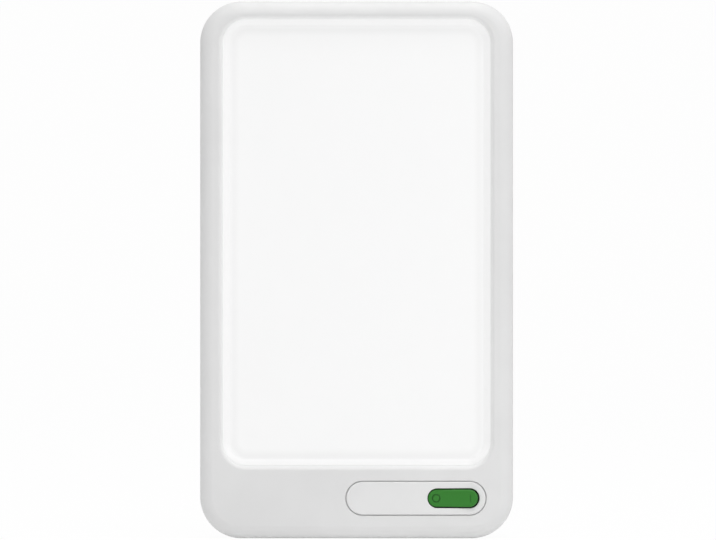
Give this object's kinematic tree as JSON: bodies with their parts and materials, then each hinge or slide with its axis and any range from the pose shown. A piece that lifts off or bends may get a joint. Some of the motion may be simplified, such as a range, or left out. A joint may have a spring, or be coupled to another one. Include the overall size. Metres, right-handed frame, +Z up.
{
  "type": "light therapy lamp",
  "caption": "Upright light therapy lamp: rounded slab housing, large recessed opal panel, rocker switch in an obround plate, fold-out stand leg and mains inlet at the back.",
  "frame": {"origin": "middle of the lamp's footprint, on the surface it stands on", "axes": "+Z up along the height, +X to the right seen from the front, +Y from the panel to the back"},
  "size_m": [0.204, 0.0676, 0.35],
  "materials": {
    "housing": "pale grey-white moulding, satin",
    "cover": "pale grey-white moulding, fine texture",
    "plate": "pale grey-white moulding, satin",
    "panel": "opal white, evenly lit",
    "switch": "green, smooth",
    "black_plastic": "black moulding",
    "sheet": "bright bent sheet",
    "steel": "zinc-plated steel",
    "brass": "plain brass",
    "lamp_glass": "phosphor-coated glass",
    "lamp_plastic": "cream white moulding",
    "board": "green circuit board",
    "ferrite": "dark ferrite core with winding",
    "capacitor": "blue sleeve",
    "terminal": "green terminal block",
    "rubber": "dark rubber"
  },
  "bodies": {
    "lamp": {"front_frame": "housing", "rear_cover": "cover", "diffuser_panel": "panel", "control_plate": "plate", "switch_body": "black_plastic", "switch_terminal_1": "brass", "switch_terminal_2": "brass", "switch_terminal_3": "brass", "reflector": "sheet", "lamp_bracket": "sheet", "lamp_tube_1": "lamp_glass", "lamp_base_1": "lamp_plastic", "lamp_holder_1": "lamp_plastic", "tube_clip_1": "steel", "lamp_tube_2": "lamp_glass", "lamp_base_2": "lamp_plastic", "lamp_holder_2": "lamp_plastic", "tube_clip_2": "steel", "lamp_tube_3": "lamp_glass", "lamp_base_3": "lamp_plastic", "lamp_holder_3": "lamp_plastic", "tube_clip_3": "steel", "ballast_board": "board", "ballast_choke_1": "ferrite", "ballast_choke_2": "ferrite", "ballast_choke_3": "ferrite", "ballast_capacitor": "capacitor", "line_filter": "ferrite", "heat_sink": "sheet", "terminal_block": "terminal", "ballast_fuse": "lamp_glass", "inlet_socket": "black_plastic", "inlet_pin_1": "steel", "inlet_pin_2": "steel", "stand_hinge_pin_left": "steel", "stand_hinge_pin_right": "steel", "cover_screw_1": "steel", "cover_screw_2": "steel", "cover_screw_3": "steel", "cover_screw_4": "steel", "cover_screw_5": "steel", "cover_screw_6": "steel", "reflector_screw_1": "steel", "reflector_screw_2": "steel", "reflector_screw_3": "steel", "reflector_screw_4": "steel", "bracket_screw_1": "steel", "board_screw_1": "steel", "bracket_screw_2": "steel", "board_screw_2": "steel"},
    "rocker": {"rocker_cap": "switch"},
    "lever": {"contact_lever": "brass"},
    "stand": {"stand_leg": "cover", "stand_pad": "rubber"}
  },
  "joints": [
    {"name": "rocker_tilt", "type": "hinge", "parent": "lamp", "child": "rocker", "pos_m": [0.063, -0.02677, 0.0264], "axis": [0, 0, 1], "range_deg": [0, 12]},
    {"name": "lever_tilt", "type": "hinge", "parent": "lamp", "child": "lever", "pos_m": [0.063, -0.01977, 0.0264], "axis": [0, 0, 1], "range_deg": [-9.6, 0]},
    {"name": "stand_fold", "type": "hinge", "parent": "lamp", "child": "stand", "pos_m": [0, 0.03063, 0.205], "axis": [1, 0, 0], "range_deg": [0, 30]}
  ],
  "couplings": [
    {"joint": "lever_tilt", "follows": "rocker_tilt", "ratio": -0.8}
  ]
}
